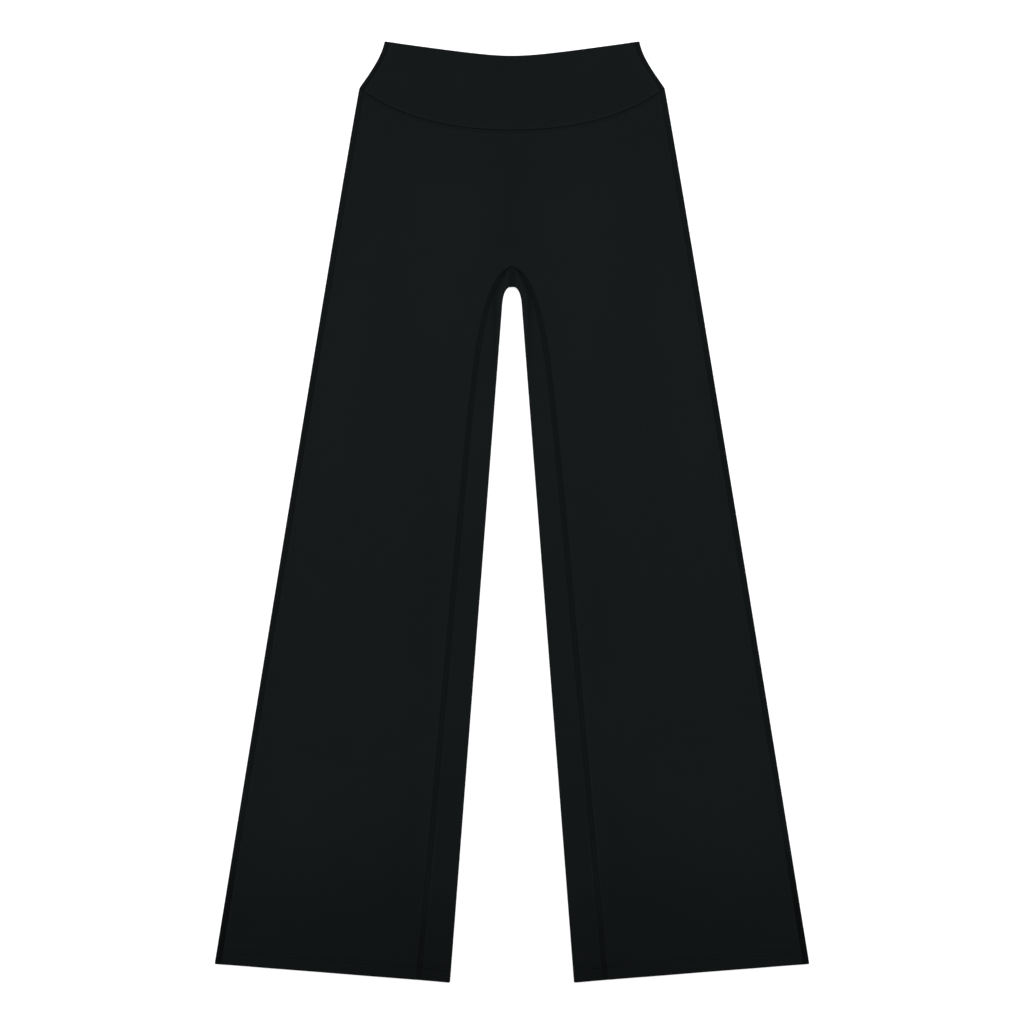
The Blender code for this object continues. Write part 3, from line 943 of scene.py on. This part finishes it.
def inner_leg_grid():
    """Right inner-leg panel: from the back inseam round the inner edge to the front inseam."""
    shares = leg_shares()
    inseam = points_down(shares, inseam_half, INSEAM_HEM_DOWN)
    seam = inseam + SEAM_GAP / 2 * square_to(inseam)
    edge = inner_edge_points(shares)
    outward = square_to(edge)
    seam[0, 0] = SEAM_GAP / 2
    edge[0, 0] = SEAM_GAP / 2
    way = edge - LEG_FOLD * outward - seam
    length = np.linalg.norm(way, axis=1)
    share = spread(length, SEAM_OFFSETS, EDGE_OFFSETS, INSEAM_COLUMNS) / length[:, None]
    half, down = on_lines(seam, way, share)

    def points_at_inset(inset):
        return on_lines(edge, outward, -inset)

    top = front_place(half, down)
    fold_start = front_place(half[:, -1:], down[:, -1:])
    ground = back_place(half[:, ::-1], down[:, ::-1])
    grid = rolled(LEG_CLOTH, top, fold_start, points_at_inset, ground)
    return Grid(*[part[:, ::-1] for part in grid])


# Meshes


def grid_faces(rows, columns):
    """Faces of a grid whose points are numbered row by row."""
    corner = np.arange(rows * columns).reshape(rows, columns)[:-1, :-1].ravel()
    return np.column_stack((corner, corner + columns, corner + columns + 1, corner + 1))


def mirrored(mesh):
    """The same mesh on the other side of the middle line."""
    return Mesh(mesh.points * (-1, 1, 1), mesh.faces[:, ::-1], mesh.tone)


def combined(meshes):
    """Several meshes as one."""
    starts = np.cumsum([0] + [len(mesh.points) for mesh in meshes[:-1]])
    faces = np.vstack([mesh.faces + start for mesh, start in zip(meshes, starts)])
    points = np.vstack([mesh.points for mesh in meshes])
    return Mesh(points, faces, np.concatenate([mesh.tone for mesh in meshes]))


def with_other_leg(mesh):
    """A mesh and its mirror image, not joined."""
    return combined((mesh, mirrored(mesh)))


def joined_to_mirror_image(mesh):
    """A mesh joined to its mirror image along the points on the middle line."""
    other = mirrored(mesh)
    count = len(mesh.points)
    shared = np.abs(mesh.points[:, 0]) < JOINING_REACH
    number = np.where(shared, np.arange(count), count + np.cumsum(~shared) - 1)
    points = np.vstack((mesh.points, other.points[~shared]))
    tone = np.concatenate((mesh.tone, mesh.tone[~shared]))
    return Mesh(points, np.vstack((mesh.faces, number[other.faces])), tone)


def closed_wall(grid, whole=False):
    """Closed wall between the two faces of a grid, on its own or joined to its mirror image."""
    rows, columns = grid.tone.shape
    tone = grid.tone.ravel()
    outside = Mesh(grid.outside.reshape(-1, 3), grid_faces(rows, columns), tone)
    inside = Mesh(grid.inside.reshape(-1, 3), outside.faces, tone)
    if whole:
        outside = joined_to_mirror_image(outside)
        inside = joined_to_mirror_image(inside)
    faces = outside.faces
    count = len(outside.points)
    start = faces.ravel()
    end = np.roll(faces, -1, axis=1).ravel()
    is_open = ~np.isin(start * count + end, end * count + start)
    start = start[is_open]
    end = end[is_open]
    rims = np.column_stack((end, start, start + count, end + count))
    points = np.vstack((outside.points, inside.points))
    faces = np.vstack((faces, faces[:, ::-1] + count, rims))
    return Mesh(points, faces, np.concatenate((outside.tone, inside.tone)))


def facing_out(mesh):
    """A closed mesh with its faces turned to point out of it."""
    first, second, third, fourth = (mesh.points[mesh.faces[:, corner]] for corner in range(4))
    volume = (first * np.cross(second, third)).sum() + (first * np.cross(third, fourth)).sum()
    return mesh if volume > 0 else Mesh(mesh.points, mesh.faces[:, ::-1], mesh.tone)


# Surfaces: functions that turn places and heights above the cloth into world points


def on_face(height, place, out):
    """The surface on one face of the pants."""
    return lambda half, down, proud: stacked(half, down, height(place(half, down)) + out * proud)


on_front = on_face(leg_top, front_place, 1)
on_band = on_face(band_top, front_place, 1)
on_back = on_face(leg_ground, back_place, -1)


def over_covers(surface, out):
    """A surface that also rises over the inseams' covering stitches."""

    def raised(half, down, proud):
        points = surface(half, down, proud)
        distance = inseam_distance(np.abs(half), down)
        points[..., 2] += out * OVER_COVER_RISE * smooth(*OVER_COVER_SLOPE, distance)
        return points

    return raised


def ending_at_waist_seam(surface, below):
    """A surface into which the sewing sinks past the waist seam: below it for 1, above for -1."""

    def sunk(half, down, proud):
        past = below * (front_place(half, down).waist - LEG_START)
        return surface(half, down, proud - (proud + WAIST_SINK) * smooth(-COVER_END, 0.0, past))

    return sunk


def on_crotch(half, gone, proud):
    """World points round the crotch, at lengths along its seam from the front to the back."""
    edge = arch_edge_down(np.abs(half)) - LEG_FOLD
    share = np.minimum(np.minimum(gone, CROTCH_SEAM_LENGTH - gone) / CROTCH_FLAT, 1.0)
    turn = math.pi * (0.5 - np.clip((gone - CROTCH_FLAT) / CROTCH_FOLD_LENGTH, 0.0, 1.0))
    down = APEX_DOWN + share * (edge - APEX_DOWN)
    top = leg_full_top(front_place(half, down))
    ground = leg_ground(back_place(half, down))
    height = (top + ground) / 2 + ((top - ground) / 2 + proud) * np.sin(turn)
    return stacked(half, down + (LEG_FOLD + proud) * np.cos(turn), height)


# Routes of the sewing: rows of halves and downs


def on_route(route, at, aside):
    """Halves and downs at lengths along a route, moved aside square to it."""
    gone = lengths_along(route)
    along = unit(np.gradient(route, axis=0))
    half = np.interp(at, gone, route[:, 0]) - aside * np.interp(at, gone, along[:, 1])
    down = np.interp(at, gone, route[:, 1]) + aside * np.interp(at, gone, along[:, 0])
    return half, down


def inseam_route():
    """Along an inseam, from the crotch to just above the hem's edge."""
    points = fine_inseam()
    points = points[points[:, 1] < hem_down(points[:, 0]) - INSEAM_HEM_ROOM]
    points[:, 1] = APEX_DOWN + np.hypot(points[:, 1] - APEX_DOWN, COVER_POINT_DROP)
    return even_steps(points, ROUTE_STEP)


def down_route(start, end, half_at=profile(0.0)):
    """Down the pants between two downs, on the middle line or at another half."""
    down = np.linspace(start, end, int((end - start) / ROUTE_STEP) + 2)
    return np.column_stack((half_at(down), down))


def hem_route(up, start, end):
    """Parallel to the hem's edge, between two halves."""
    half = np.linspace(start, end, ROW_POINTS // 2)
    return np.column_stack((half, hem_down(half) - up))


def waist_route(middle_down, room):
    """Along the stitch row below the waist seam, with some room left at the sides."""
    half = np.linspace(room - HIP_HALF, HIP_HALF - room, ROW_POINTS)
    down = beside_waist_seam(np.abs(half) / HIP_HALF, middle_down, WAIST_ROW_DOWN)
    return np.column_stack((half, down))


# Sewing


def tubes(paths, radius, tones):
    """Closed four-sided tubes along paths, given as an array of tubes, points and coordinates."""
    along = unit(np.gradient(paths, axis=1))
    side = unit(np.cross(along, (0.0, 0.0, 1.0)))
    up = np.cross(side, along)
    points = paths[:, :, None] + radius * np.stack((side, up, -side, -up), axis=2)
    count, length = paths.shape[:2]
    first = 4 * np.arange(length - 1)[:, None]
    corner = np.arange(4)
    after = (corner + 1) % 4
    quads = (first + corner, first + after, first + after + 4, first + corner + 4)
    last = 4 * (length - 1)
    caps = np.array(((3, 2, 1, 0), (last, last + 1, last + 2, last + 3)))
    faces = np.vstack((np.stack(quads, axis=-1).reshape(-1, 4), caps))
    faces = (faces + 4 * length * np.arange(count)[:, None, None]).reshape(-1, 4)
    tones = np.broadcast_to(tones, (count, length))
    return facing_out(Mesh(points.reshape(-1, 3), faces, np.repeat(tones.ravel(), 4)))


def strip(route, surface, half_width_at, tone_at, lean):
    """Closed low strip along a route, with two soft humps, and painted shade that makes it lighter
    towards one side by the lean.
    """
    length = lengths_along(route)[-1]
    at = np.linspace(0.0, length, int(length / STRIP_STEP) + 2)[:, None]
    across, height = np.transpose(STRIP_SECTION)
    proud = COVER_PROUD * height
    out = np.minimum(np.minimum(at, length - at) / COVER_END, 1.0)
    half, down = on_route(route, at, across * half_width_at(at))
    points = surface(half, down, (proud + COVER_PROUD) * out - COVER_PROUD)
    rings, corners = half.shape
    first = np.arange(rings - 1) * corners
    following = first + corners
    closing = np.column_stack((following - 1, following + corners - 1, following, first))
    cap = np.array(((7, 2, 1, 0), (7, 4, 3, 2), (7, 6, 5, 4)))
    other_cap = cap[:, ::-1] + (rings - 1) * corners
    faces = np.vstack((grid_faces(rings, corners), closing, cap, other_cap))
    tone = STRIP_TONE * tone_at(at) * (1 + lean * across)
    return facing_out(Mesh(points.reshape(-1, 3), faces, tone.ravel()))


def crossing_thread(route, surface, half_width_at, tone_at):
    """The thread that runs to and fro across a strip."""
    at = np.arange(COVER_END, lengths_along(route)[-1] - COVER_END, COVER_PITCH / 4)
    number = np.arange(len(at)) % 4
    across = np.array(CROSSING_ACROSS)[number]
    proud = np.array(CROSSING_PROUD)[number]
    half, down = on_route(route, at, across * half_width_at(at))
    return tubes(surface(half, down, proud)[None], THREAD_RADIUS, tone_at(at))


def stitch_row(route, surface, pitch, proud=ROW_PROUD, radius=THREAD_RADIUS,
               aside_at=profile(0.0), tone_at=profile(1.0)):
    """A row of stitches, each of which rises out of the cloth and goes back into it."""
    start = np.arange(int(lengths_along(route)[-1] / pitch)) * pitch
    at = start[:, None] + pitch * np.array(STITCH_SHARES)
    half, down = on_route(route, at, aside_at(at))
    rise = proud + np.array(STITCH_RISES) + 0 * half
    return tubes(surface(half, down, rise), radius, tone_at(at))


def cover(route, surface, half_width_at, tone_at=profile(1.0), lean=0.0):
    """Covering stitch over a seam: a low strip, a thread across it and rows along its edges."""
    parts = [strip(route, surface, half_width_at, tone_at, lean),
             crossing_thread(route, surface, half_width_at, tone_at)]
    for side in COVER_ROWS:
        parts.append(stitch_row(route, surface, COVER_PITCH, COVER_PROUD, tone_at=tone_at,
                                aside_at=lambda at: side * half_width_at(at)))
    return combined(parts)


def hem_stitches():
    """Both rows of the right hem on both faces, and the three thick dark stitches of an overlap."""
    overlap = stitch_row(hem_route(HEM_ROWS_UP[0], *OVERLAP_HALVES), on_front, OVERLAP_STITCH,
                         OVERLAP_PROUD, OVERLAP_RADIUS, tone_at=profile(OVERLAP_TONE))
    rows = []
    for surface, room in zip((over_covers(on_front, 1), over_covers(on_back, -1)), HEM_ROW_ROOM):
        for up in HEM_ROWS_UP:
            inner = inner_edge_half(LENGTH - up) + HEM_ROW_INNER_ROOM
            outer = side_half(HEM_OUTER_DOWN - up) - room
            rows.append(stitch_row(hem_route(up, inner, outer), surface, HEM_STITCH))
    return combined(rows + [overlap])


def sewing_meshes():
    """The stitches of each seam."""
    inseam = inseam_route()
    crossing = waist_seam_down(1 - SIDE_SEAM_INSET / HIP_HALF, BAND_FRONT_DOWN)
    leg_side = down_route(crossing - WAIST_OVERLAP, HEM_OUTER_DOWN - COVER_HEM_ROOM, side_seam_half)
    band_side = down_route(SIDE_COVER_TOP, crossing + WAIST_OVERLAP, side_seam_half)
    crotch = down_route(-CROTCH_COVER_PAST, CROTCH_SEAM_LENGTH + CROTCH_COVER_PAST)
    centre_back = down_route(BAND_BACK_DOWN + CENTRE_BACK_TOP, APEX_DOWN - CENTRE_BACK_ROOM)
    waist_front = waist_route(BAND_FRONT_DOWN, WAIST_ROW_ROOM[0])
    waist_back = waist_route(BAND_BACK_DOWN, WAIST_ROW_ROOM[1])
    tapered = profile(COVER_POINT_HALF, COVER_TAPER)
    on_leg_side = ending_at_waist_seam(on_front, -1)
    on_band_side = ending_at_waist_seam(on_band, 1)
    right = {
        "cover_inseams_front": cover(inseam, on_front, tapered, profile(1.0, *INSEAM_COVER_LIGHT_AND_SHADE),
                                     INSEAM_COVER_SHADE_LEAN),
        "cover_inseams_back": cover(inseam, on_back, tapered),
        "cover_leg_sides": cover(leg_side, on_leg_side,
                                 profile(SIDE_COVER_HALF, SIDE_COVER_WIDENING),
                                 profile(SIDE_COVER_TONE, *SIDE_COVER_LIGHT_AND_SHADE)),
        "cover_band_sides": cover(band_side, on_band_side, profile(BAND_COVER_HALF)),
    }
    meshes = {name: with_other_leg(mesh) for name, mesh in right.items()}
    meshes["cover_crotch"] = cover(crotch, on_crotch, profile(CROTCH_COVER_HALF))
    meshes["cover_centre_back"] = cover(centre_back, on_back, profile(COVER_HALF))
    meshes["waist_stitches_front"] = stitch_row(waist_front, on_front, WAIST_STITCH)
    meshes["waist_stitches_back"] = stitch_row(waist_back, on_back, WAIST_STITCH)
    meshes["hem_stitches"] = with_other_leg(hem_stitches())
    return meshes


# Materials


def new_material(name):
    """A material with nodes, and its tree."""
    material = bpy.data.materials.new(name)
    material.use_nodes = True
    return material, material.node_tree


def fill(tree, node, inputs):
    """Give a node's inputs their values, or link other nodes' outputs to them."""
    for name, value in inputs.items():
        socket = node.inputs[name]
        if isinstance(value, bpy.types.NodeSocket):
            tree.links.new(value, socket)
        else:
            socket.default_value = value


def added(tree, kind, inputs, operation=None):
    """The outputs of a new node with its inputs filled."""
    node = tree.nodes.new(kind)
    if operation is not None:
        node.operation = operation
    fill(tree, node, inputs)
    return node.outputs


def shaded(tree, inputs):
    """Fill inputs of a material's shader."""
    fill(tree, tree.nodes["Principled BSDF"], inputs)


def maths(tree, operation, *values):
    """A Math node's result, from numbers or other nodes' results."""
    return added(tree, "ShaderNodeMath", dict(enumerate(values)), operation)[0]


def times_all(tree, first, *others):
    """The product of several results."""
    for other in others:
        first = maths(tree, "MULTIPLY", first, other)
    return first


def noise(tree, scale, detail):
    """Noise around 0.5 at a scale in lumps per metre."""
    inputs = {"Vector": object_coordinates(tree), "Scale": scale, "Detail": detail}
    return added(tree, "ShaderNodeTexNoise", inputs)["Fac"]


def tinted(tree, colour, factor):
    """A colour times a factor from other nodes."""
    return added(tree, "ShaderNodeVectorMath", {0: colour, "Scale": factor}, "SCALE")["Vector"]


def bumped(tree, height, distance, strength, **normal):
    """A normal from a height, perhaps on top of another Normal."""
    inputs = {"Distance": distance, "Strength": strength, "Height": height, **normal}
    return added(tree, "ShaderNodeBump", inputs)["Normal"]


def tone_output(tree):
    """The tone stored on the mesh's points, mostly painted light and shade."""
    node = tree.nodes.new("ShaderNodeAttribute")
    node.attribute_name = "tone"
    return node.outputs["Fac"]


def object_coordinates(tree):
    """Coordinates in metres on the laid pants."""
    return added(tree, "ShaderNodeTexCoord", {})["Object"]


def knit_height(tree):
    """Height of plain knit stitches: upright columns of small Vs."""
    split = added(tree, "ShaderNodeSeparateXYZ", {0: object_coordinates(tree)})
    column = maths(tree, "DIVIDE", split["X"], WALE)
    row = maths(tree, "DIVIDE", split["Y"], COURSE)
    lean = maths(tree, "PINGPONG", column, 0.5)
    phase = maths(tree, "MULTIPLY", maths(tree, "ADD", row, lean), 2 * math.pi)
    stitch = maths(tree, "MULTIPLY_ADD", maths(tree, "SINE", phase), 0.5, 0.5)
    rib = maths(tree, "ABSOLUTE", maths(tree, "SINE", maths(tree, "MULTIPLY", column, math.pi)))
    return maths(tree, "MULTIPLY", rib, maths(tree, "MULTIPLY_ADD", stitch, 0.5, 0.5))


def jersey_material(name, colour):
    """Fine matt jersey with a faint sheen, whose colour also carries the painted light and shade of
    the tone.
    """
    material, tree = new_material(name)
    knit = knit_height(tree)
    grain = noise(tree, *GRAIN)
    cloud = noise(tree, *CLOUD)
    tone = times_all(tree, maths(tree, "MULTIPLY_ADD", knit, *KNIT_TONE),
                     maths(tree, "MULTIPLY_ADD", grain, *GRAIN_TONE),
                     maths(tree, "MULTIPLY_ADD", cloud, *CLOUD_TONE), tone_output(tree))
    soft = bumped(tree, cloud, *CLOUD_BUMP)
    shaded(tree, {
        "Base Color": tinted(tree, colour, tone),
        "Roughness": maths(tree, "MULTIPLY_ADD", grain, *JERSEY_ROUGHNESS),
        "Normal": bumped(tree, knit, *KNIT_BUMP, Normal=soft),
        "Specular IOR Level": 0.035,
        "Sheen Weight": 0.006,
        "Sheen Roughness": 0.45,
    })
    return material


def thread_material():
    """Twisted sewing thread, a little darker and glossier than the cloth, whose colour also carries
    painted light and shade.
    """
    material, tree = new_material("thread")
    fibre = noise(tree, *FIBRE)
    tone = times_all(tree, maths(tree, "MULTIPLY_ADD", fibre, *FIBRE_TONE), tone_output(tree))
    shaded(tree, {
        "Base Color": tinted(tree, THREAD_COLOUR, tone),
        "Roughness": maths(tree, "MULTIPLY_ADD", fibre, *THREAD_ROUGHNESS),
        "Normal": bumped(tree, fibre, *FIBRE_BUMP),
        "Specular IOR Level": 0.03,
    })
    return material


def floor_material():
    """Smooth pale floor with a very faint mottle, which glows softly as a light table does."""
    material, tree = new_material("floor")
    mottle = maths(tree, "MULTIPLY_ADD", noise(tree, *MOTTLE), *MOTTLE_TONE)
    shaded(tree, {
        "Base Color": tinted(tree, FLOOR_COLOUR, mottle),
        "Roughness": 0.9,
        "Specular IOR Level": 0.1,
        "Emission Color": WHITE,
        "Emission Strength": FLOOR_GLOW,
    })
    return material


# Pieces


def add_object(name, data):
    """A new object in the scene."""
    made = bpy.data.objects.new(name, data)
    bpy.context.scene.collection.objects.link(made)
    return made


def add_piece(name, mesh, material, slot, *nodes):
    """A visible piece that stays with the pants, in place of some of the solids."""
    data = bpy.data.meshes.new(name)
    data.from_pydata(mesh.points.tolist(), [], mesh.faces.tolist())
    tone = data.attributes.new("tone", "FLOAT", "POINT")
    tone.data.foreach_set("value", mesh.tone.astype(np.float32))
    data.materials.append(material)
    data.shade_smooth()
    piece = add_object(name, data)
    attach(piece, "root")
    if nodes:
        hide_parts(*nodes)
    return piece


def add_sewing():
    """All the stitches, by seam, with the same painted shade towards the hems as the cloth."""
    thread = thread_material()
    sewing = {}
    for name, mesh in sewing_meshes().items():
        tone = mesh.tone * painted_light_fade(LENGTH / 2 - mesh.points[:, 1])
        sewing[name] = add_piece(name, Mesh(mesh.points, mesh.faces, tone), thread, "seam_thread")
    return sewing


def add_panels(sewing):
    """The seven panels."""
    jersey = (jersey_material("leg_jersey", JERSEY_COLOUR), "leg_jersey")
    band_jersey = (jersey_material("waistband_jersey", BAND_COLOUR), "waistband_jersey")
    front = upper_grid(panel_lines(BAND_FRONT_DOWN, 0.0), LEG_CLOTH)
    back = rolled_grid(panel_lines(BAND_BACK_DOWN, SEAM_GAP / 2), LEG_CLOTH)
    inner_leg = inner_leg_grid()
    band_front = upper_grid(band_lines(TOP_DIP_FRONT, BAND_FRONT_DOWN), band_cloth(TOP_DIP_FRONT))
    band_back = rolled_grid(band_lines(TOP_DIP_BACK, BAND_BACK_DOWN), band_cloth(TOP_DIP_BACK))

    def add_panel(node, mesh, look):
        return add_piece(f"{node}_cloth", mesh, *look, node)

    front_piece = add_panel("front_panel", closed_wall(front, True), jersey)
    band_front_piece = add_panel("waistband_front", closed_wall(band_front, True), band_jersey)
    band_back_piece = add_panel("waistband_back", closed_wall(band_back, True), band_jersey)
    back_mesh = closed_wall(back)
    inner_leg_mesh = closed_wall(inner_leg)
    backs = [add_panel("back_panel_right", back_mesh, jersey)]
    inner_legs = [add_panel("inner_leg_right", inner_leg_mesh, jersey)]
    backs.append(add_panel("back_panel_left", mirrored(back_mesh), jersey))
    inner_legs.append(add_panel("inner_leg_left", mirrored(inner_leg_mesh), jersey))


# Stage


def add_floor():
    """The pale floor, just under the cloth."""
    data = bpy.data.meshes.new("floor")
    signs = ((-1, -1), (1, -1), (1, 1), (-1, 1))
    corners = [(x * FLOOR_REACH, y * FLOOR_REACH, -FLOOR_DOWN) for x, y in signs]
    data.from_pydata(corners, [], [(0, 1, 2, 3)])
    data.materials.append(floor_material())
    add_object("floor", data)


def add_camera():
    """The camera, straight above the middle of the pants."""
    data = bpy.data.cameras.new("camera")
    data.lens = LENS
    data.sensor_width = SENSOR
    camera = add_object("camera", data)
    camera.location = (0.0, 0.0, FIELD * LENS / SENSOR)
    bpy.context.scene.camera = camera


def add_light():
    """Soft white light from all round and from large softboxes, strongest from the waist's side."""
    world = bpy.data.worlds.new("studio")
    world.use_nodes = True
    background = world.node_tree.nodes["Background"]
    fill(world.node_tree, background, {"Color": WHITE, "Strength": WORLD_STRENGTH})
    bpy.context.scene.world = world
    for name, place, size, power in SOFTBOXES:
        data = bpy.data.lights.new(name, "AREA")
        data.shape = "RECTANGLE"
        data.size, data.size_y = size
        data.energy = power
        light = add_object(name, data)
        light.location = place
        light.rotation_euler = (-Vector(place)).to_track_quat("-Z", "Y").to_euler()
    bpy.context.scene.view_settings.view_transform = "Standard"
    bpy.context.scene.view_settings.look = "None"


def build():
    """Add everything."""
    add_camera()
    add_light()
    add_floor()
    add_panels(add_sewing())


build()
